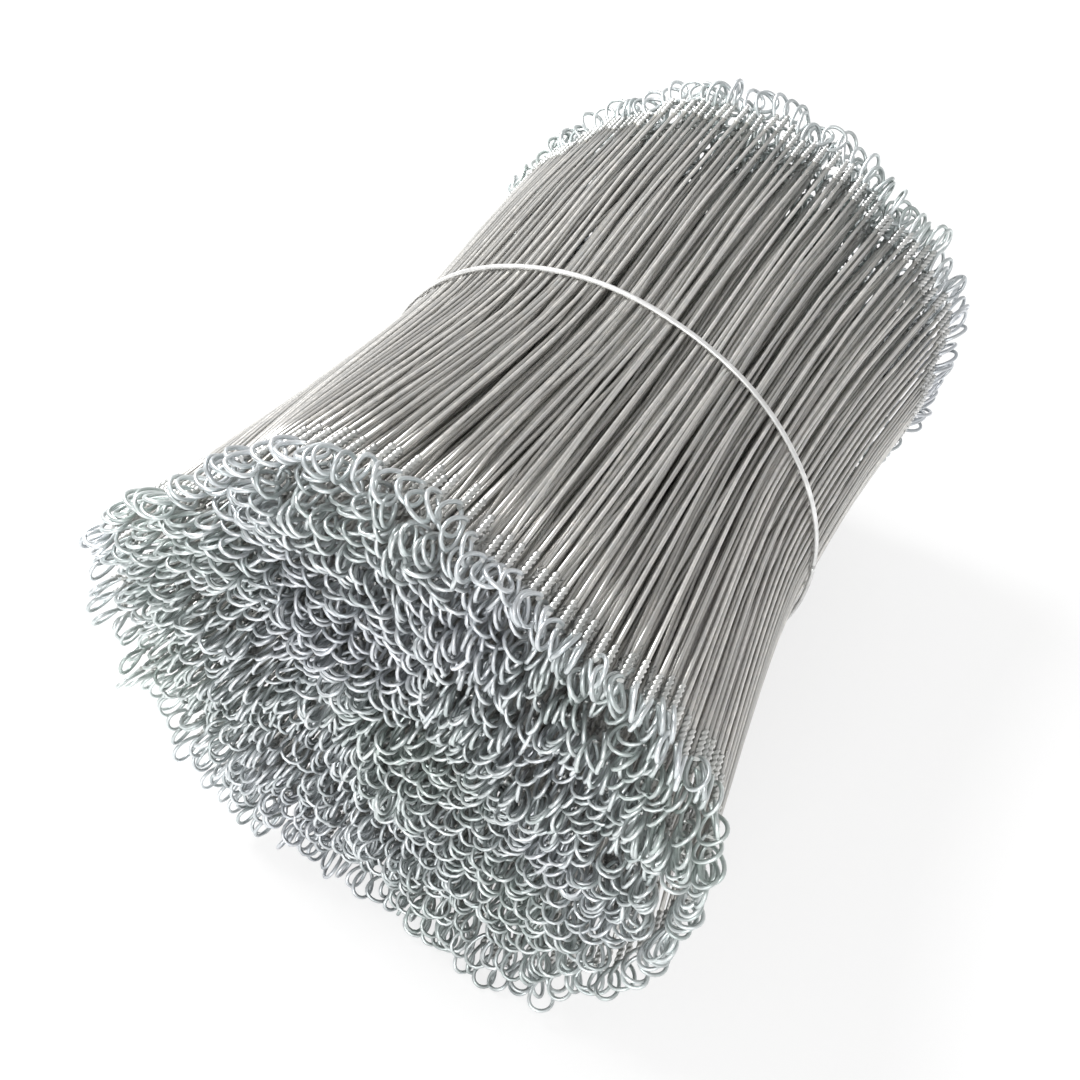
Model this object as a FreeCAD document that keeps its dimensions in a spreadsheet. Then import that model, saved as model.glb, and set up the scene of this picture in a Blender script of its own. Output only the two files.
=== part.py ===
import FreeCAD, Part

import math
import os

import Sketcher
from FreeCAD import Placement, Rotation, Vector

# A bundle of rebar loop ties: about a thousand straight wires with a loop twisted on each end,
# pulled in at the middle by one binding wire. The bundle lies on its side, on the rims of its loops.
#
# Every piece is built in the bundle's own frame and then laid down as one. In that frame the bundle's
# axis is Y, the binding is at y = 0, the front end is towards -Y and the rear end towards +Y.
# Lengths are in millimetres and angles in degrees.

DRIVING_SIZES = {
    "wire_diameter": 1.0,       # the wire that every tie is bent from
    "waist_radius": 62.5,       # bundle axis to the outermost ties' centre line, at the binding
    "front_length": 88.0,       # binding to the end of the front necks, along the axis
    "rear_length": 82.0,        # binding to the end of the rear necks, along the axis
    "front_flare": 15.0,        # how far the outermost ties spread between binding and front necks
    "rear_flare": 4.0,          # the same at the rear
    "loop_diameter": 6.0,       # loop, across the centre line of its wire
    "loop_turn": 45.0,          # a loop's plane is turned this much out of the radial plane
    "neck_diameter": 2.0,       # twisted neck below each loop: two wires side by side
    "neck_length": 12.0,        # length of that twisted neck, along the tie
    "core_clearance": 0.1,      # between the core of inner ties and the outermost necks
    "row_pitch": 6.2,           # distance between rows of inner loops, outwards from the axis
    "row_width": 5.6,           # one row of inner loops, across
    "row_height": 4.0,          # how far a row of inner loops stands out of the core's end
    "binding_diameter": 1.2,    # the binding wire
    "binding_clearance": 0.1,   # between the binding wire and the ties it holds
    "tail_diameter": 2.2,       # the binding's two ends, twisted together
    "tail_length": 14.0,        # length of that twisted tail
    "tail_angle": 205.0,        # place of the tail round the bundle, up from +X
    "tail_lift": 4.0,           # the tail stands off the ties by this angle
}
SECTOR_COUNT = 12               # nodes that share the outermost layer of ties
TIES_PER_SECTOR = 13
TIE_COUNT = SECTOR_COUNT * TIES_PER_SECTOR

SHEET_NAME = "Sizes"
POINT_TOLERANCE = 0.01          # a point this near a surface counts as on it
FULL_TURN = 360.0
HALF_TURN = 180.0


def size(alias):
    """Name of a driving size, as an expression writes it."""
    return f"{SHEET_NAME}.{alias}"


def bend_radius(end):
    """Radius of the arc that an outermost tie follows from the binding to one end."""
    length = size(end + "_length")
    flare = size(end + "_flare")
    return f"(({length}^2 + {flare}^2) / (2 * {flare}))"


def end_angle(end):
    """Angle by which an outermost tie leans outwards where its neck ends, in degrees."""
    return f"(asin({size(end + '_length')} / {bend_radius(end)}) / 1 deg)"


def neck_angle(end):
    """Angle of the tie's arc that the twisted neck takes up, in degrees."""
    return f"({size('neck_length')} / {bend_radius(end)} * {HALF_TURN} / pi)"


def make_sheet(doc):
    sheet = doc.addObject("Spreadsheet::Sheet", SHEET_NAME)
    for row, (alias, value) in enumerate(DRIVING_SIZES.items(), start=1):
        sheet.set(f"A{row}", alias)
        sheet.set(f"B{row}", str(value))
        sheet.setAlias(f"B{row}", alias)
    doc.recompute()
    return sheet


def fuse(doc, name, pieces):
    """Fuse pieces one after another, and stop if the result has lost one of them."""
    whole = pieces[0]
    for number, piece in enumerate(pieces[1:], start=1):
        joined = doc.addObject("Part::Fuse", f"{name}_step_{number:02d}")
        joined.Base = whole
        joined.Tool = piece
        whole = joined
    doc.recompute()
    for piece in pieces:
        for vertex in piece.Shape.Vertexes:
            if not whole.Shape.isInside(vertex.Point, POINT_TOLERANCE, True):
                raise RuntimeError(f"{name} has lost {piece.Label}")
    whole.Label = name
    return whole


# --- one outermost tie: its centre line lies in the XY plane, x is the distance from the axis ---

def bind_placement(item, x, y, axis, angle):
    """Bind an item's place, and its turn about an axis, to expressions."""
    turned = f"rotation(vector({axis[0]}; {axis[1]}; {axis[2]}); {angle})"
    item.setExpression("Placement", f"placement(vector({x}; {y}; 0); {turned})")


def add_arc_piece(doc, name, end, diameter, start_angle, sweep):
    """A round bar bent along the tie's arc on one side of the binding."""
    piece = doc.addObject("Part::Torus", name)
    piece.setExpression("Radius1", f"{bend_radius(end)} * 1 mm")
    piece.setExpression("Radius2", f"{diameter} / 2 * 1 mm")
    piece.setExpression("Angle3", f"{sweep} * 1 deg")
    centre = f"{size('waist_radius')} + {bend_radius(end)}"
    bind_placement(piece, centre, "0", ("0", "0", "1"), start_angle)
    return piece


def add_loop(doc, name, end, side):
    """The loop beyond one neck: a ring whose plane holds the neck's direction."""
    angle = f"{end_angle(end)} * 1 deg"
    bend = bend_radius(end)
    ring_radius = f"{size('loop_diameter')} / 2"
    x = f"{size('waist_radius')} + {bend} * (1 - cos({angle})) + {ring_radius} * sin({angle})"
    y = f"{side} * ({bend} * sin({angle}) + {ring_radius} * cos({angle}))"
    loop = doc.addObject("Part::Torus", name)
    loop.setExpression("Radius1", f"{ring_radius} * 1 mm")
    loop.setExpression("Radius2", f"{size('wire_diameter')} / 2 * 1 mm")
    outwards = (f"sin({angle})", f"{side} * cos({angle})", "0")
    bind_placement(loop, x, y, outwards, size("loop_turn"))
    return loop


def make_outer_tie(doc):
    """One tie of the outermost layer: wire, twisted necks and loops, fused into one solid."""
    wire = size("wire_diameter")
    neck = size("neck_diameter")
    front_end = f"{HALF_TURN} + {end_angle('front')} - {neck_angle('front')}"
    rear_end = f"{HALF_TURN} - {end_angle('rear')}"
    return fuse(doc, "outer_tie", [
        add_arc_piece(doc, "front_wire", "front", wire, str(HALF_TURN), end_angle("front")),
        add_arc_piece(doc, "rear_wire", "rear", wire, rear_end, end_angle("rear")),
        add_arc_piece(doc, "front_neck", "front", neck, front_end, neck_angle("front")),
        add_arc_piece(doc, "rear_neck", "rear", neck, rear_end, neck_angle("rear")),
        add_loop(doc, "front_loop", "front", -1),
        add_loop(doc, "rear_loop", "rear", 1),
    ])


def make_tie_sector(doc, tie, number):
    """One twelfth of the outermost layer, as ties that stand clear of each other."""
    step = FULL_TURN / TIE_COUNT
    ties = []
    for place in range(TIES_PER_SECTOR):
        angle = step * (number * TIES_PER_SECTOR + place)
        copy = tie.Shape.copy()
        copy.Placement = Placement(Vector(), Rotation(Vector(0, 1, 0), angle)) * copy.Placement
        ties.append(copy)
    sector = doc.addObject("Part::Feature", f"outer_ties_{number + 1:02d}")
    sector.Shape = Part.makeCompound(ties)
    return sector


# --- the inner ties, as one turned core with the rows of their loops on its ends ---

def origin_feature(body, role):
    return next(feature for feature in body.Origin.OriginFeatures if feature.Role == role)


def core_side(sheet, end):
    """Length, arc radius, arc centre and arc angle of the core's profile towards one end."""
    length = getattr(sheet, end + "_length")
    flare = getattr(sheet, end + "_flare")
    tie_bend = (length ** 2 + flare ** 2) / (2 * flare)
    gap = sheet.neck_diameter / 2 + sheet.core_clearance
    bend = tie_bend + gap
    return length, bend, sheet.waist_radius + tie_bend, math.asin(length / bend)


def make_core_body(doc):
    """Turned hourglass inside the outermost ties, sketched with x as radius and y as the axis."""
    body = doc.addObject("PartDesign::Body", "core_body")
    sketch = body.newObject("Sketcher::SketchObject", "core_profile")
    sketch.AttachmentSupport = [(origin_feature(body, "XY_Plane"), "")]
    sketch.MapMode = "FlatFace"

    sheet = doc.getObject(SHEET_NAME)
    normal = Vector(0, 0, 1)
    front_length, front_bend, front_centre, front_angle = core_side(sheet, "front")
    rear_length, rear_bend, rear_centre, rear_angle = core_side(sheet, "rear")
    front_circle = Part.Circle(Vector(front_centre, 0, 0), normal, front_bend)
    rear_circle = Part.Circle(Vector(rear_centre, 0, 0), normal, rear_bend)
    front_arc = Part.ArcOfCircle(front_circle, math.pi, math.pi + front_angle)
    rear_arc = Part.ArcOfCircle(rear_circle, math.pi - rear_angle, math.pi)
    front_axis, rear_axis = Vector(0, -front_length, 0), Vector(0, rear_length, 0)
    axis_line, front_line, rear_line, front_curve, rear_curve = sketch.addGeometry([
        Part.LineSegment(rear_axis, front_axis),
        Part.LineSegment(front_axis, front_arc.EndPoint),
        Part.LineSegment(rear_arc.StartPoint, rear_axis),
        front_arc,
        rear_arc,
    ])
    start, end, centre = 1, 2, 3
    x_axis, y_axis = -1, -2
    constrain = sketch.addConstraint
    for first, first_point, second, second_point in (
        (axis_line, end, front_line, start),
        (front_line, end, front_curve, end),
        (front_curve, start, rear_curve, end),
        (rear_curve, start, rear_line, start),
        (rear_line, end, axis_line, start),
    ):
        constrain(Sketcher.Constraint("Coincident", first, first_point, second, second_point))
    constrain(Sketcher.Constraint("PointOnObject", axis_line, start, y_axis))
    constrain(Sketcher.Constraint("PointOnObject", axis_line, end, y_axis))
    constrain(Sketcher.Constraint("Horizontal", front_line))
    constrain(Sketcher.Constraint("Horizontal", rear_line))
    constrain(Sketcher.Constraint("PointOnObject", front_curve, start, x_axis))
    constrain(Sketcher.Constraint("PointOnObject", front_curve, centre, x_axis))
    constrain(Sketcher.Constraint("PointOnObject", rear_curve, centre, x_axis))

    gap = f"({size('neck_diameter')} / 2 + {size('core_clearance')})"
    waist = sheet.waist_radius - sheet.neck_diameter / 2 - sheet.core_clearance
    for constraint, expression in (
        (("DistanceX", x_axis, start, front_curve, start, waist), f"{size('waist_radius')} - {gap}"),
        (("Radius", front_curve, front_bend), f"{bend_radius('front')} + {gap}"),
        (("Radius", rear_curve, rear_bend), f"{bend_radius('rear')} + {gap}"),
        (("DistanceY", axis_line, end, x_axis, start, front_length), size("front_length")),
        (("DistanceY", x_axis, start, axis_line, start, rear_length), size("rear_length")),
    ):
        index = constrain(Sketcher.Constraint(*constraint))
        sketch.setExpression(f"Constraints[{index}]", f"({expression}) * 1 mm")

    turned = body.newObject("PartDesign::Revolution", "core_turned")
    turned.Profile = sketch
    turned.ReferenceAxis = (sketch, ["V_Axis"])
    turned.Angle = FULL_TURN
    doc.recompute()
    return body


def row_count(sheet, end):
    """How many rows of inner loops fit on the core's end, inside the outermost ties."""
    length, bend, centre, angle = core_side(sheet, end)
    end_radius = centre - bend * math.cos(angle)
    return int((end_radius - sheet.row_width / 2) / sheet.row_pitch)


def make_core(doc):
    """The core, with a rounded ridge on its ends for each row of the inner ties' loops."""
    sheet = doc.getObject(SHEET_NAME)
    pieces = [make_core_body(doc)]
    for end, side in (("front", -1), ("rear", 1)):
        for number in range(1, row_count(sheet, end) + 1):
            row = doc.addObject("Part::Torus", f"{end}_row_{number:02d}")
            row.setExpression("Radius1", f"{size('row_pitch')} * {number} * 1 mm")
            row.setExpression("Radius2", f"{size('row_width')} / 2 * 1 mm")
            inset = f"({size('row_height')} - {size('row_width')} / 2)"
            y = f"{side} * ({size(end + '_length')} + {inset})"
            bind_placement(row, "0", y, ("1", "0", "0"), "90")
            pieces.append(row)
    return fuse(doc, "tie_core", pieces)


# --- the binding wire: one turn round the waist, its ends twisted together into a short tail ---

def make_binding(doc):
    seat = f"({size('waist_radius')} + {size('wire_diameter')} / 2 + {size('binding_clearance')})"
    ring = doc.addObject("Part::Torus", "binding_ring")
    ring.setExpression("Radius1", f"({seat} + {size('binding_diameter')} / 2) * 1 mm")
    ring.setExpression("Radius2", f"{size('binding_diameter')} / 2 * 1 mm")
    bind_placement(ring, "0", "0", ("1", "0", "0"), "90")

    tail = doc.addObject("Part::Cylinder", "binding_tail")
    tail.setExpression("Radius", f"{size('tail_diameter')} / 2 * 1 mm")
    tail.setExpression("Height", f"{size('tail_length')} * 1 mm")
    reach = f"({seat} + {size('tail_diameter')} / 2)"
    angle = f"({size('tail_angle')} * 1 deg)"
    stand_up = f"rotation(vector(0; 1; 0); -{angle}) * rotation(vector(0; 0; 1); -{size('tail_lift')})"
    point_back = "rotation(vector(1; 0; 0); -90)"
    place = f"vector({reach} * cos({angle}); 0; {reach} * sin({angle}))"
    tail.setExpression("Placement", f"placement({place}; {stand_up} * {point_back})")

    return fuse(doc, "binding_wire", [ring, tail])


# --- laying the bundle down on the rims of its loops ---

def rim(sheet, end):
    """Radius of the rim of loops at one end, and its distance from the binding."""
    length = getattr(sheet, end + "_length")
    flare = getattr(sheet, end + "_flare")
    bend = (length ** 2 + flare ** 2) / (2 * flare)
    lean = math.asin(length / bend)
    ring_radius = sheet.loop_diameter / 2
    spread = math.cos(math.radians(sheet.loop_turn)) * math.cos(lean)
    loop_centre = sheet.waist_radius + flare + ring_radius * math.sin(lean)
    rim_radius = loop_centre + ring_radius * math.hypot(math.sin(lean), spread) + sheet.wire_diameter / 2
    return rim_radius, length + ring_radius * math.cos(lean)


def lay_down(doc, pieces):
    """Lean the bundle onto both rims, and put the middle of its box's underside at the origin."""
    sheet = doc.getObject(SHEET_NAME)
    front_rim, front_reach = rim(sheet, "front")
    rear_rim, rear_reach = rim(sheet, "rear")
    lean = -math.degrees(math.atan2(front_rim - rear_rim, front_reach + rear_reach))
    leaned = Placement(Vector(), Rotation(Vector(1, 0, 0), lean))
    for piece in pieces:
        piece.Placement = leaned
    doc.recompute()
    box = FreeCAD.BoundBox()
    for piece in pieces:
        box.add(piece.Shape.optimalBoundingBox(False))
    to_origin = Vector(-(box.XMin + box.XMax) / 2, -(box.YMin + box.YMax) / 2, -box.ZMin)
    for piece in pieces:
        piece.Placement = Placement(to_origin, leaned.Rotation)
    doc.recompute()


def check(doc, pieces):
    """Stop before anything is written if an object failed or a shape is not sound."""
    for item in doc.Objects:
        if {"Invalid", "Error"} & set(item.State):
            raise RuntimeError(f"{item.Label} failed: {item.State}")
    for piece in pieces:
        if piece.Shape.isNull() or not piece.Shape.isValid() or not piece.Shape.Solids:
            raise RuntimeError(f"{piece.Label} has no sound shape")


def main():
    doc = FreeCAD.newDocument("bundle_of_rebar_ties")
    make_sheet(doc)
    tie = make_outer_tie(doc)
    pieces = [make_core(doc)]
    pieces += [make_tie_sector(doc, tie, number) for number in range(SECTOR_COUNT)]
    pieces.append(make_binding(doc))
    lay_down(doc, pieces)
    check(doc, pieces)
    os.makedirs("parts", exist_ok=True)
    for piece in pieces:
        piece.Shape.exportStep(f"parts/{piece.Label}.step")


main()
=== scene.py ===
"""Looks of a bundle of rebar loop ties: some fifteen hundred straight wires with a loop at each end.

Every tie is a real wire here: a straight stretch, a twisted neck and a loop at each end. The ties are
laid out in the bundle's own frame, as the CAD does it: the axis is Y, the binding is at y = 0 and the
front end is towards -Y. Lengths are in metres, angles in radians unless a name says degrees.
"""
import math

import bpy
import numpy as np
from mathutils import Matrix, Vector


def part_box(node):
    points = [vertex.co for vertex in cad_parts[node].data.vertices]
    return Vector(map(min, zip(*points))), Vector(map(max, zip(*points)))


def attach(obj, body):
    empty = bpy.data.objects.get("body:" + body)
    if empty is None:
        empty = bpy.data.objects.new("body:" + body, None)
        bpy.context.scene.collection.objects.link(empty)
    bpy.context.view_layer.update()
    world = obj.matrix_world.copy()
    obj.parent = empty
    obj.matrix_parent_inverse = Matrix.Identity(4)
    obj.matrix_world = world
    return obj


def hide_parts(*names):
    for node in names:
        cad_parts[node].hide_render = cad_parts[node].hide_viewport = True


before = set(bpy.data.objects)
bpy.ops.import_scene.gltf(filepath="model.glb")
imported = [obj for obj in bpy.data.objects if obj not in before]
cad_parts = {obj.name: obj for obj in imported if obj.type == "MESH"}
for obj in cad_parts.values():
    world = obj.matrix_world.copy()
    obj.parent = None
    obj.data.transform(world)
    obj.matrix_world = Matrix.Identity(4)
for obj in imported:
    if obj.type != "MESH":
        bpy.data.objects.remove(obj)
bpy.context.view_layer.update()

MM = 0.001

# The outermost ties, as the CAD has them.
WIRE_DIAMETER = 1.0 * MM
WAIST_RADIUS = 62.5 * MM
FRONT_LENGTH, REAR_LENGTH = 88.0 * MM, 82.0 * MM
FRONT_FLARE, REAR_FLARE = 15.0 * MM, 4.0 * MM
LOOP_DIAMETER = 6.0 * MM
LOOP_TURN = math.radians(45)
NECK_LENGTH = 7.5 * MM
BINDING_DIAMETER = 1.2 * MM
BINDING_FLATTENING = (1.3, 0.95)     # along the bundle, and out from it
BINDING_SEAT = WAIST_RADIUS + WIRE_DIAMETER / 2 + 0.1 * MM
TAIL_ANGLE = math.radians(205)
TAIL_LENGTH = 14.0 * MM
TAIL_LIFT = math.radians(4)
OUTER_TIES = 156

# The inner ties stand in one long spiral row.
ROW_PITCH = 5.0 * MM
ROW_SPACING = 2.5 * MM
INNERMOST_ROW = 2.5 * MM

# The ties run straighter towards their ends than the CAD's plain bends. This is how tightly they turn
# at the waist, as a share of their length.
WAIST_TIGHTNESS = 0.3

# A bundle of loose ties settles out of round. Each row: degrees round the rim, half width in degrees,
# distance.
FRONT_SETTLING = (
    (62, 16, -9.0 * MM),
    (132, 17, -9.5 * MM),
    (175, 12, 2.5 * MM),
    (228, 8, 8.0 * MM),
    (294, 9, 8.0 * MM),
    (318, 14, 4.0 * MM),
    (352, 14, -2.5 * MM),
)
REAR_SETTLING = (
    (32, 26, 6.0 * MM),
    (128, 24, -4.5 * MM),
    (172, 12, 4.0 * MM),
)
FORWARD_SLIPS = (
    (150, 45, 3.0 * MM),
    (228, 16, 3.0 * MM),
    (296, 24, 5.0 * MM),
)
REAR_SHIFT = -1.8 * MM

# The floor presses up whatever hangs lower than it, down to this depth, within this height.
DEEPEST_SAG, PRESSED_HEIGHT = 1.7 * MM, 8.0 * MM

FRONT_RADIUS = WAIST_RADIUS + FRONT_FLARE
FRONT_BEND = (FRONT_LENGTH ** 2 + FRONT_FLARE ** 2) / (2 * FRONT_FLARE)
REAR_BEND = (REAR_LENGTH ** 2 + REAR_FLARE ** 2) / (2 * REAR_FLARE)

# A twisted neck's section, as shares of the wire's radius: at its waists, and added at its lobes.
NECK_WAIST, NECK_LOBE = 0.9, 0.8
NECK_OVERLAP = 1.0 * MM              # how far a neck reaches over the straight stretch
NECK_LOOP_SHARE = 0.3                # how far a neck has the loops' colour

# A loop is a drop, narrower where it leaves the neck.
LOOP_HEIGHT = 7.6 * MM
LOOP_GAP = 0.12                      # angle left open on either side of the neck
LOOP_DROP, LOOP_WIDEST = 0.3, 1.06
LOOP_SEAT = 0.6 * MM                 # how deep it sits in the neck
LOOP_FLARE = 0.16                    # how far the outermost loops lean out

# How much the ties differ from one another. The binding holds the outermost ones, so they differ less.
OUTER_LOOSENESS = 0.35
SHARE_SPREAD, SHARE_WAVE = 0.008, 0.012
STEP_SPREAD = 0.35 * MM
OUTER_GATHER, INNER_GATHER = 0.9 * MM, 0.7 * MM
SLIP_SPREAD, SLIP_WAVE = 1.0 * MM, 2.3 * MM
SLIPPING_FROM, SLIPPING_OVER = 0.62, 0.2
DRIFT_SPREAD = 0.16
SWAY_SPREAD, SWAY_LENGTH, OUTER_SWAY = 0.5 * MM, 0.55, 0.5
TURN_SPREAD, TURN_WAVE = 0.33, 0.45
NOD_SPREAD = 0.17
WIDTH_SPREAD, HEIGHT_SPREAD = 0.06, 0.07
SHARE_PATTERN, SLIP_PATTERN, TURN_PATTERN = (5, 0.3), (11, 0.35), (23, 0.25)    # seed and size
WAVE_COUNT, WAVE_LENGTHS, WAVE_HEIGHT = 7, (0.6, 1.5), 2.6

SEED = 41
BAKE_MAP = "OFBake"
rng = np.random.default_rng(SEED)


# --- the outermost layer's shape, and where the bundle lies ---

def shell_radius(y):
    """Distance from the axis to the outermost ties, at y along the axis."""
    reach = np.abs(y) / np.where(y < 0, FRONT_LENGTH, REAR_LENGTH)
    rise = np.hypot(reach, WAIST_TIGHTNESS) - WAIST_TIGHTNESS
    full_rise = math.hypot(1, WAIST_TIGHTNESS) - WAIST_TIGHTNESS
    return WAIST_RADIUS + rise / full_rise * np.where(y < 0, FRONT_FLARE, REAR_FLARE)


def shell_slope(y):
    small = 0.1 * MM
    return (shell_radius(y + small) - shell_radius(y - small)) / (2 * small)


def rim(length, flare, bend):
    """Radius and reach of the rim of loops at one end, as the CAD works them out."""
    lean = math.asin(length / bend)
    ring = LOOP_DIAMETER / 2
    loop_centre = WAIST_RADIUS + flare + ring * math.sin(lean)
    spread = math.hypot(math.sin(lean), math.cos(LOOP_TURN) * math.cos(lean))
    return loop_centre + ring * spread + WIRE_DIAMETER / 2, length + ring * math.cos(lean)


def bundle_lean():
    """The bundle lies on both rims, so its axis leans down towards the narrower rear one."""
    front_rim, front_reach = rim(FRONT_LENGTH, FRONT_FLARE, FRONT_BEND)
    rear_rim, rear_reach = rim(REAR_LENGTH, REAR_FLARE, REAR_BEND)
    return -math.atan2(front_rim - rear_rim, front_reach + rear_reach)


def binding_centre(lean):
    """Middle of the binding's ring, from the box of its CAD node."""
    low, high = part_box("binding_wire")
    ring_radius = BINDING_SEAT + BINDING_DIAMETER / 2
    half_depth = ring_radius * abs(math.sin(lean)) + BINDING_DIAMETER / 2
    return np.array([0.0, low[1] + half_depth, (low[2] + high[2]) / 2])


LEAN = bundle_lean()
CENTRE = binding_centre(LEAN)


def to_world(points):
    """Points of the bundle's own frame, laid down on the floor."""
    x, y, z = points[..., 0], points[..., 1], points[..., 2]
    cos, sin = math.cos(LEAN), math.sin(LEAN)
    laid = np.stack([x, y * cos - z * sin, y * sin + z * cos], -1) + CENTRE
    height = laid[..., 2]
    pressed = (height + DEEPEST_SAG) * PRESSED_HEIGHT / (PRESSED_HEIGHT + DEEPEST_SAG)
    laid[..., 2] = np.where(height < PRESSED_HEIGHT, pressed, height)
    return laid


# --- wires as tubes, many at a time ---

def unit(vectors):
    return vectors / np.linalg.norm(vectors, axis=-1, keepdims=True)


def circle(sides, radius):
    """Section of a round wire: its corners in the plane across the wire."""
    turn = np.arange(sides) * (2 * np.pi / sides)
    return np.stack([np.cos(turn), np.sin(turn)], -1) * radius


def twisted_pair(sides, steps, radius, turns):
    """Sections of two wires twisted together: a waisted outline that turns along the neck."""
    turn = np.arange(sides) * (2 * np.pi / sides)
    lobes = radius * (NECK_WAIST + NECK_LOBE * np.abs(np.cos(turn)))
    twist = np.linspace(0, 2 * np.pi * turns, steps)[:, None]
    return np.stack([np.cos(turn + twist), np.sin(turn + twist)], -1) * lobes[None, :, None]


def tubes(points, normals, section):
    """Tubes along many paths: points and normals are (tubes, steps, 3), section (steps or none, sides, 2)."""
    along = unit(np.gradient(points, axis=1))
    across = unit(normals - (normals * along).sum(-1, keepdims=True) * along)
    other = np.cross(along, across)
    if section.ndim == 2:
        section = np.broadcast_to(section, (points.shape[1], *section.shape))
    return (points[:, :, None]
            + section[None, :, :, :1] * across[:, :, None]
            + section[None, :, :, 1:] * other[:, :, None])


class WireMesh:
    """Collects tubes and makes one mesh object of them, with a bake map and a tone for each tube."""

    def __init__(self):
        self.grids = []

    def add(self, grid, tone, share):
        """grid is (tubes, steps, sides, 3); tone is a value for each tube; share is how far it is loop."""
        self.grids.append((grid, np.broadcast_to(tone, grid.shape[:1]), share))

    def build(self, name):
        cells = sum(len(grid) for grid, _, _ in self.grids)
        columns = math.ceil(math.sqrt(cells / 8))
        rows = math.ceil(cells / columns)
        points, corners, totals, spots, tones, shares = [], [], [], [], [], []
        base = cell = 0
        for grid, tone, share in self.grids:
            count, steps, sides, _ = grid.shape
            index = base + np.arange(count * steps * sides).reshape(count, steps, sides)
            ahead = np.roll(index, -1, axis=2)
            quads = np.stack([index[:, :-1], ahead[:, :-1], ahead[:, 1:], index[:, 1:]], -1)
            place = cell + np.arange(count)
            left, low = place % columns, place // columns
            u = np.linspace(0.08, 0.92, steps)
            v = np.linspace(0.1, 0.9, sides + 1)
            u_edges = np.stack([u[:-1], u[:-1], u[1:], u[1:]], -1)
            v_edges = np.stack([v[:-1], v[1:], v[1:], v[:-1]], -1)
            flat_u = (left[:, None, None, None] + u_edges[None, :, None, :]) / columns
            flat_v = (low[:, None, None, None] + v_edges[None, None, :, :]) / rows
            shape = (count, steps - 1, sides, 4)
            quad_spots = np.stack([np.broadcast_to(flat_u, shape), np.broadcast_to(flat_v, shape)], -1)
            turn = np.arange(sides) * (2 * np.pi / sides)
            disc = np.stack([np.cos(turn), np.sin(turn)], -1) * 0.02
            for caps, end_u in ((index[:, 0, ::-1], 0.04), (index[:, -1], 0.96)):
                middle = np.stack([(left + end_u) / columns, (low + 0.5) / rows], -1)
                cap_spots = middle[:, None] + disc[None] / (columns, rows)
                corners.append(caps.reshape(-1))
                totals.append(np.full(count, sides))
                spots.append(cap_spots.reshape(-1, 2))
            corners.append(quads.reshape(-1))
            totals.append(np.full(quads[..., 0].size, 4))
            spots.append(quad_spots.reshape(-1, 2))
            points.append(grid.reshape(-1, 3))
            tones.append(np.repeat(tone, steps * sides))
            shares.append(np.full(count * steps * sides, share))
            base += count * steps * sides
            cell += count
        return self.make_object(name, points, corners, totals, spots, {"tone": tones, "loop_share": shares})

    @staticmethod
    def make_object(name, points, corners, totals, spots, values):
        points, corners, totals = map(np.concatenate, (points, corners, totals))
        mesh = bpy.data.meshes.new(name)
        mesh.vertices.add(len(points))
        mesh.vertices.foreach_set("co", to_world(points).astype(np.float32).ravel())
        mesh.loops.add(len(corners))
        mesh.loops.foreach_set("vertex_index", corners.astype(np.int32))
        mesh.polygons.add(len(totals))
        starts = np.concatenate([[0], np.cumsum(totals)[:-1]])
        mesh.polygons.foreach_set("loop_start", starts.astype(np.int32))
        mesh.polygons.foreach_set("use_smooth", totals == 4)
        bake_map = mesh.uv_layers.new(name=BAKE_MAP, do_init=False)
        for label, value in values.items():
            attribute = mesh.attributes.new(label, "FLOAT", "POINT")
            attribute.data.foreach_set("value", np.concatenate(value).astype(np.float32))
        mesh.update(calc_edges=True)
        mesh.uv_layers[BAKE_MAP].uv.foreach_set("vector", np.concatenate(spots).astype(np.float32).ravel())
        mesh.validate()
        piece = bpy.data.objects.new(name, mesh)
        bpy.context.scene.collection.objects.link(piece)
        return piece


# --- where each tie stands ---

def outer_places():
    """Share of the shell's radius and angle of each outermost tie."""
    angle = np.arange(OUTER_TIES) * (2 * np.pi / OUTER_TIES)
    return np.ones(OUTER_TIES), angle


def inner_places():
    """The same for the inner ties, at even steps along a spiral that runs in to the axis."""
    share, angle, places = 1 - ROW_PITCH / FRONT_RADIUS, 0.0, []
    while share * FRONT_RADIUS > INNERMOST_ROW:
        places.append((share, angle))
        step = ROW_SPACING / (share * FRONT_RADIUS)
        angle += step
        share -= ROW_PITCH / FRONT_RADIUS * step / (2 * np.pi)
    return np.array(places).T


def waves(share, angle, seed, size):
    """A smooth random value over the bundle's section, in -1 to 1 or a little more."""
    draw = np.random.default_rng(seed)
    x, z = share * np.cos(angle), share * np.sin(angle)
    total = np.zeros_like(share)
    for _ in range(WAVE_COUNT):
        heading = draw.uniform(0, 2 * np.pi)
        length = draw.uniform(*WAVE_LENGTHS) / size
        phase = draw.uniform(0, 2 * np.pi)
        total += np.sin((x * np.cos(heading) + z * np.sin(heading)) * length * 2 * np.pi + phase)
    return total / WAVE_HEIGHT


def bump_at(angle, middle_degrees, width_degrees):
    """1 at one place round the bundle, falling smoothly to 0 beside it."""
    away = np.angle(np.exp(1j * (angle - math.radians(middle_degrees))))
    return np.exp(-(away / math.radians(width_degrees)) ** 2)


def bumps(angle, rows):
    """The distances of a table of bumps, added up."""
    return sum(distance * bump_at(angle, middle, width) for middle, width, distance in rows)


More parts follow.
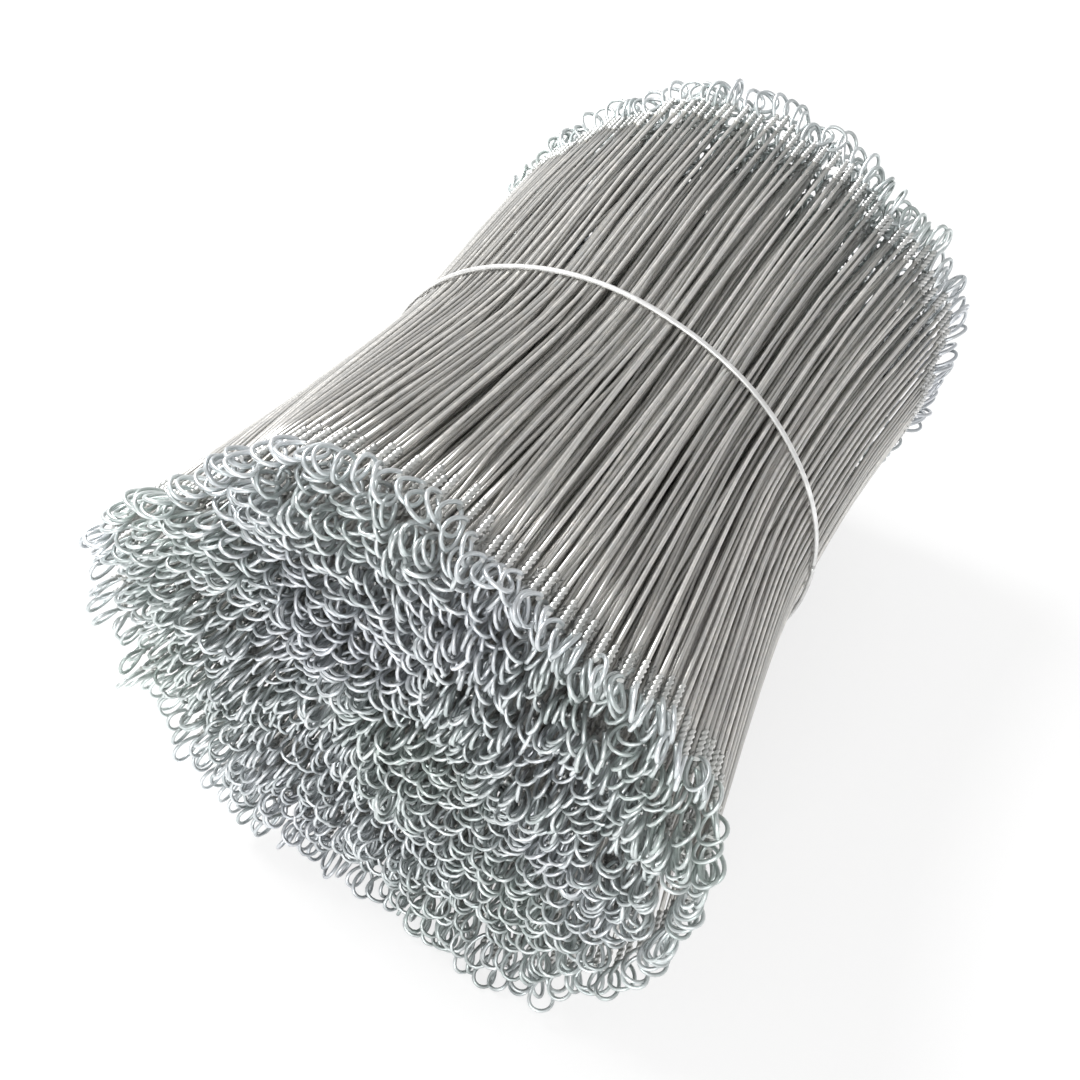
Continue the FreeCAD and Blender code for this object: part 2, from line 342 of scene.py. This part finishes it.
class Ties:
    """A set of ties: where each stands, and how far it differs from its neighbours."""

    def __init__(self, share, angle, outer):
        count = len(share)
        loose = OUTER_LOOSENESS if outer else 1.0
        self.outer = outer
        scatter = rng.normal(0, SHARE_SPREAD, count) * loose
        self.share = share + scatter + waves(share, angle, *SHARE_PATTERN) * SHARE_WAVE * loose
        if outer:
            self.share = np.minimum(self.share, 1.0)
        self.angle = angle + rng.normal(0, STEP_SPREAD, count) / (self.share * FRONT_RADIUS)
        self.gather = rng.normal(0, OUTER_GATHER if outer else INNER_GATHER, count)
        slip = waves(share, angle, *SLIP_PATTERN) * SLIP_WAVE + rng.normal(0, SLIP_SPREAD, count)
        slipping = np.clip((share - SLIPPING_FROM) / SLIPPING_OVER, 0, 1)
        self.slip = slip - bumps(angle, FORWARD_SLIPS) * slipping
        self.drift = rng.normal(0, DRIFT_SPREAD, count) * loose
        self.sway = rng.normal(0, SWAY_SPREAD, (2, count)) * loose
        self.phase = rng.uniform(0, 2 * np.pi, (2, count))
        self.tone = rng.uniform(0, 1, count)
        turn_wave = waves(share, angle, *TURN_PATTERN) * TURN_WAVE
        self.turn = LOOP_TURN + turn_wave + rng.normal(0, TURN_SPREAD, count)
        self.nod = rng.normal(0, NOD_SPREAD, (2, count))
        self.width = LOOP_DIAMETER * rng.normal(1.0, WIDTH_SPREAD, (2, count))
        self.height = LOOP_HEIGHT * rng.normal(1.0, HEIGHT_SPREAD, (2, count))

    def line(self, y):
        """Points of the centre lines: y is (ties, steps)."""
        share, angle = self.share[:, None], self.angle[:, None]
        radius = share * shell_radius(np.clip(y, -FRONT_LENGTH, REAR_LENGTH))
        beyond = np.where(y < 0, np.minimum(y + FRONT_LENGTH, 0), np.maximum(y - REAR_LENGTH, 0))
        radius = radius + share * beyond * shell_slope(np.clip(y, -FRONT_LENGTH, REAR_LENGTH))
        free = np.clip(np.abs(y) / FRONT_LENGTH, 0, 1)
        waist_pull = free if self.outer else 1.0
        wave = np.sin(y / (FRONT_LENGTH * SWAY_LENGTH) * np.pi + self.phase[:, :, None])
        radius = radius + wave[0] * self.sway[0][:, None] * waist_pull * (OUTER_SWAY if self.outer else 1)
        gathered = self.gather[:, None] * (1 - free ** 2) / WAIST_RADIUS
        swayed = wave[1] * self.sway[1][:, None] / WAIST_RADIUS
        angle = angle + gathered + self.drift[:, None] * y + swayed
        radius = radius + share * bumps(angle, FRONT_SETTLING) * np.clip(-y / FRONT_LENGTH, 0, 1) ** 2
        radius = radius + share * bumps(angle, REAR_SETTLING) * np.clip(y / REAR_LENGTH, 0, 1) ** 1.5
        shift = REAR_SHIFT * np.clip(y / REAR_LENGTH * 2, 0, 1)
        return np.stack([radius * np.cos(angle) + shift, y, radius * np.sin(angle)], -1)

    def radial(self, points):
        flat = points * (1, 0, 1)
        return unit(flat)

    def add_to(self, mesh, detail):
        """Adds every tie's straight stretch, necks and loops."""
        front = (-FRONT_LENGTH + self.slip)[:, None]
        rear = (REAR_LENGTH + self.slip)[:, None]
        inner_front, inner_rear = front + NECK_LENGTH - NECK_OVERLAP, rear - NECK_LENGTH + NECK_OVERLAP
        steps = np.linspace(0, 1, detail["straight_steps"])
        middle = self.line(inner_front + (inner_rear - inner_front) * steps)
        section = circle(detail["sides"], WIRE_DIAMETER / 2)
        mesh.add(tubes(middle, self.radial(middle), section), self.tone, 0.0)
        for end, side in ((0, -1), (1, 1)):
            self.add_end(mesh, detail, end, side, front if side < 0 else rear)

    def add_end(self, mesh, detail, end, side, neck_end):
        """The twisted neck at one end, and the loop beyond it."""
        steps = np.linspace(0, 1, detail["neck_steps"])
        neck = self.line(neck_end - side * NECK_LENGTH * (1 - steps))
        twisted = twisted_pair(detail["neck_sides"], len(steps), WIRE_DIAMETER / 2, detail["neck_turns"])
        mesh.add(tubes(neck, self.radial(neck), twisted), self.tone, NECK_LOOP_SHARE)

        base = neck[:, -1]
        along = unit(neck[:, -1] - neck[:, -2])
        radial = self.radial(base)
        around = np.cross(along, radial)
        lean = (LOOP_FLARE * self.share ** 2 + self.nod[0])[:, None]
        along = unit(along + radial * lean + unit(around) * self.nod[1][:, None])
        radial = unit(radial - (radial * along).sum(-1, keepdims=True) * along)
        around = np.cross(along, radial)
        turn = (self.turn if side < 0 else -self.turn)[:, None]
        across = radial * np.cos(turn) + around * np.sin(turn)
        face = np.cross(along, across)

        phi = np.linspace(LOOP_GAP, 2 * np.pi - LOOP_GAP, detail["loop_steps"])
        wide = np.sin(phi) * (1 - LOOP_DROP * np.cos(phi)) / LOOP_WIDEST / 2
        high = (1 - np.cos(phi)) / 2
        skew = np.linspace(-0.5, 0.5, len(phi)) * WIRE_DIAMETER
        loop = (base[:, None]
                + across[:, None] * (wide * self.width[end][:, None])[..., None]
                + along[:, None] * (high * self.height[end][:, None] - LOOP_SEAT)[..., None]
                + face[:, None] * skew[None, :, None])
        normals = np.broadcast_to(face[:, None], loop.shape)
        section = circle(detail["sides"], WIRE_DIAMETER / 2)
        mesh.add(tubes(loop, normals, section), self.tone, 1.0)

    def part(self, chosen):
        """The same ties, only those chosen."""
        some = object.__new__(Ties)
        for label, value in self.__dict__.items():
            some.__dict__[label] = value[..., chosen] if isinstance(value, np.ndarray) else value
        return some


# --- materials ---

def new_material(name):
    material = bpy.data.materials.new(name)
    material.use_nodes = True
    nodes = material.node_tree.nodes
    return material, nodes, material.node_tree.links, nodes["Principled BSDF"]


def mixed(nodes, links, factor, low, high):
    """A colour between two others, by a factor."""
    mix = nodes.new("ShaderNodeMix")
    mix.data_type = "RGBA"
    links.new(factor, mix.inputs["Factor"])
    for socket, colour in ((mix.inputs[6], low), (mix.inputs[7], high)):
        if isinstance(colour, tuple):
            socket.default_value = (*colour, 1)
        else:
            links.new(colour, socket)
    return mix.outputs[2]


def noise(nodes, links, coordinates, scale, detail):
    texture = nodes.new("ShaderNodeTexNoise")
    texture.inputs["Scale"].default_value = scale
    texture.inputs["Detail"].default_value = detail
    links.new(coordinates, texture.inputs["Vector"])
    return texture.outputs["Fac"]


def ranged(nodes, links, value, low, high, start=0.3, stop=0.7):
    """A value's middle stretch, spread from low to high."""
    spread = nodes.new("ShaderNodeMapRange")
    for label, number in (("From Min", start), ("From Max", stop), ("To Min", low), ("To Max", high)):
        spread.inputs[label].default_value = number
    links.new(value, spread.inputs["Value"])
    return spread.outputs["Result"]


def add_bump(nodes, links, shader, height, strength, distance):
    bump = nodes.new("ShaderNodeBump")
    bump.inputs["Strength"].default_value = strength
    bump.inputs["Distance"].default_value = distance
    links.new(height, bump.inputs["Height"])
    links.new(bump.outputs["Normal"], shader.inputs["Normal"])


def attribute(nodes, label):
    node = nodes.new("ShaderNodeAttribute")
    node.attribute_name = label
    return node.outputs["Fac"]


def tie_material():
    """Zinc-coated wire: warm grey along the straight, cooler and brighter where it is bent into loops."""
    material, nodes, links, shader = new_material("zinc_tie_wire")
    place = nodes.new("ShaderNodeTexCoord").outputs["Object"]
    tone = attribute(nodes, "tone")
    loop_share = attribute(nodes, "loop_share")
    straight = mixed(nodes, links, tone, (0.42, 0.41, 0.385), (0.86, 0.84, 0.80))
    patches = ranged(nodes, links, noise(nodes, links, place, scale=22, detail=1), 0, 1)
    dull_loops = mixed(nodes, links, patches, (0.50, 0.53, 0.56), (0.46, 0.53, 0.50))
    bright_loops = mixed(nodes, links, patches, (0.81, 0.83, 0.87), (0.77, 0.83, 0.81))
    looped = mixed(nodes, links, tone, dull_loops, bright_loops)
    clean = mixed(nodes, links, loop_share, straight, looped)
    blotches = ranged(nodes, links, noise(nodes, links, place, scale=420, detail=3), 0, 0.55)
    colour = mixed(nodes, links, blotches, clean, (0.46, 0.47, 0.475))
    links.new(colour, shader.inputs["Base Color"])
    shader.inputs["Metallic"].default_value = 0.9
    grain = noise(nodes, links, place, scale=1500, detail=4)
    links.new(ranged(nodes, links, grain, low=0.32, high=0.54), shader.inputs["Roughness"])
    add_bump(nodes, links, shader, grain, strength=0.25, distance=0.08 * MM)
    return material


def binding_material():
    """Bright drawn wire, barely dulled."""
    material, nodes, links, shader = new_material("bright_binding_wire")
    place = nodes.new("ShaderNodeTexCoord").outputs["Object"]
    marks = ranged(nodes, links, noise(nodes, links, place, scale=300, detail=3), 0, 1)
    colour = mixed(nodes, links, marks, (0.86, 0.86, 0.85), (0.66, 0.66, 0.65))
    links.new(colour, shader.inputs["Base Color"])
    shader.inputs["Metallic"].default_value = 0.75
    grain = noise(nodes, links, place, scale=1300, detail=4)
    links.new(ranged(nodes, links, grain, low=0.28, high=0.48), shader.inputs["Roughness"])
    add_bump(nodes, links, shader, grain, strength=0.2, distance=0.1 * MM)
    return material


# --- the pieces ---

def finish_piece(piece, material, nodes):
    piece.data.materials.append(material)
    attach(piece, "root")
    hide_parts(*nodes)


def make_ties(material):
    """The outermost ties in two pieces and the inner ones in six, each a joined mesh."""
    fine = {
        "sides": 7, "straight_steps": 16, "loop_steps": 26,
        "neck_sides": 10, "neck_steps": 22, "neck_turns": 2.5,
    }
    plain = {
        "sides": 5, "straight_steps": 8, "loop_steps": 15,
        "neck_sides": 4, "neck_steps": 7, "neck_turns": 1.0,
    }
    outer = Ties(*outer_places(), outer=True)
    sectors = [name for name in sorted(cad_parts) if name.startswith("outer_ties")]
    halves = np.array_split(np.arange(OUTER_TIES), 2)
    for number, (chosen, nodes) in enumerate(zip(halves, np.array_split(sectors, 2)), start=1):
        mesh = WireMesh()
        outer.part(chosen).add_to(mesh, fine)
        finish_piece(mesh.build(f"outermost_ties_{number}"), material, [str(n) for n in nodes])
    places = inner_places()
    inner = Ties(*places, outer=False)
    for number, chosen in enumerate(np.array_split(np.arange(places.shape[1]), 6), start=1):
        mesh = WireMesh()
        inner.part(chosen).add_to(mesh, plain)
        finish_piece(mesh.build(f"inner_ties_{number}"), material, ["tie_core"])


def make_binding(material):
    """One turn of wire round the waist, its ends twisted together and cut off."""
    mesh = WireMesh()
    ring_radius = BINDING_SEAT + BINDING_DIAMETER / 2
    turn = np.linspace(0, 2 * np.pi, 289)
    wobble = 0.12 * MM * np.sin(turn * 9) + 0.3 * MM * np.sin(turn * 2 + 1)
    ring = np.stack([ring_radius * np.cos(turn), wobble, ring_radius * np.sin(turn)], -1)[None]
    axis = np.broadcast_to(np.array([0.0, 1.0, 0.0]), ring.shape)
    flattened = circle(12, BINDING_DIAMETER / 2) * BINDING_FLATTENING
    mesh.add(tubes(ring, axis, flattened), 0.5, 0.0)

    outwards = np.array([math.cos(TAIL_ANGLE), 0, math.sin(TAIL_ANGLE)])
    sideways = np.array([-math.sin(TAIL_ANGLE), 0, math.cos(TAIL_ANGLE)])
    back = np.array([0, math.cos(TAIL_LIFT), 0]) + outwards * math.sin(TAIL_LIFT)
    up = np.cross(sideways, back) * -1
    strand = BINDING_DIAMETER / 2
    base = outwards * (BINDING_SEAT + 2 * strand)
    run = np.linspace(0, 1, 90)
    for side in (0, np.pi):
        twist = side + run * 2 * np.pi * 3
        spread = strand * (0.95 + 0.9 * np.clip((run - 0.86) / 0.14, 0, 1))
        path = (base + back * (run * TAIL_LENGTH)[:, None]
                + sideways * (np.cos(twist) * spread)[:, None]
                + up * (np.sin(twist) * spread)[:, None])[None]
        normals = np.broadcast_to(outwards, path.shape)
        mesh.add(tubes(path, normals, circle(10, strand * 0.92)), 0.5, 0.0)
    finish_piece(mesh.build("binding_wire_turn"), material, ["binding_wire"])


# --- floor, light and camera ---

FLOOR_SIZE = 6
FLOOR_WHITENESS = 0.75               # share of plain white that the camera sees in the floor
ROOM_LIGHT, BACKDROP_LIGHT = 0.65, 1.0
LIT_POINT = (0, 0, 0.08)             # about the bundle's middle

def add_floor():
    bpy.ops.mesh.primitive_plane_add(size=FLOOR_SIZE, location=(0, 0, 0))
    floor = bpy.context.object
    floor.name = "floor"
    material = bpy.data.materials.new("pale_floor")
    material.use_nodes = True
    nodes, links = material.node_tree.nodes, material.node_tree.links
    nodes.clear()
    diffuse = nodes.new("ShaderNodeBsdfDiffuse")
    diffuse.inputs["Color"].default_value = (0.93, 0.93, 0.93, 1)
    white = nodes.new("ShaderNodeEmission")
    white.inputs["Strength"].default_value = 1.0
    path = nodes.new("ShaderNodeLightPath")
    share = nodes.new("ShaderNodeMath")
    share.operation = "MULTIPLY"
    share.inputs[1].default_value = FLOOR_WHITENESS
    mix = nodes.new("ShaderNodeMixShader")
    output = nodes.new("ShaderNodeOutputMaterial")
    links.new(path.outputs["Is Camera Ray"], share.inputs[0])
    links.new(share.outputs[0], mix.inputs[0])
    links.new(diffuse.outputs[0], mix.inputs[1])
    links.new(white.outputs[0], mix.inputs[2])
    links.new(mix.outputs[0], output.inputs["Surface"])
    floor.data.materials.append(material)


def add_area_light(name, location, target, size, power):
    light = bpy.data.lights.new(name, "AREA")
    light.shape = "DISK"
    light.size = size
    light.energy = power
    lamp = bpy.data.objects.new(name, light)
    lamp.location = location
    lamp.rotation_euler = (Vector(target) - Vector(location)).to_track_quat("-Z", "Y").to_euler()
    bpy.context.scene.collection.objects.link(lamp)


def add_lights():
    world = bpy.data.worlds.new("studio")
    bpy.context.scene.world = world
    world.use_nodes = True
    nodes, links = world.node_tree.nodes, world.node_tree.links
    background = nodes["Background"]
    background.inputs["Color"].default_value = (1, 1, 1, 1)
    path = nodes.new("ShaderNodeLightPath")
    strength = nodes.new("ShaderNodeMapRange")
    strength.inputs["To Min"].default_value = ROOM_LIGHT
    strength.inputs["To Max"].default_value = BACKDROP_LIGHT
    links.new(path.outputs["Is Camera Ray"], strength.inputs["Value"])
    links.new(strength.outputs["Result"], background.inputs["Strength"])
    add_area_light("key", (-0.68, 0.12, 1.0), LIT_POINT, size=0.5, power=17)
    add_area_light("front", (0.3, -1.1, 0.7), LIT_POINT, size=0.7, power=8)


CAMERA_AZIMUTH, CAMERA_ELEVATION = math.radians(28.7), math.radians(48.7)
CAMERA_DISTANCE = 0.404
CAMERA_SIDE, CAMERA_UP = 2.8 * MM, 1.4 * MM
FOCAL_SHARE = 1.43           # focal length as a share of the sensor's width
SHIFT_SIDE, SHIFT_UP = -0.034, -0.055
SENSOR_WIDTH = 36.0


def add_camera():
    """The camera looks down on the bundle from its front right, as close as it would be held."""
    camera = bpy.data.cameras.new("camera")
    camera.sensor_width = SENSOR_WIDTH
    camera.lens = SENSOR_WIDTH * FOCAL_SHARE
    camera.clip_start = 0.01
    camera.shift_x, camera.shift_y = SHIFT_SIDE, SHIFT_UP
    cos, sin = math.cos(CAMERA_ELEVATION), math.sin(CAMERA_ELEVATION)
    back = Vector((math.sin(CAMERA_AZIMUTH) * cos, -math.cos(CAMERA_AZIMUTH) * cos, sin))
    right = back.cross(Vector((0, 0, 1))) * -1
    right.normalize()
    up = back.cross(right)
    holder = bpy.data.objects.new("camera", camera)
    holder.location = Vector(CENTRE) + back * CAMERA_DISTANCE - right * CAMERA_SIDE - up * CAMERA_UP
    holder.rotation_euler = back.to_track_quat("Z", "Y").to_euler()
    bpy.context.scene.collection.objects.link(holder)
    bpy.context.scene.camera = holder


bpy.context.scene.view_settings.view_transform = "Standard"
add_camera()
add_floor()
add_lights()
make_ties(tie_material())
make_binding(binding_material())
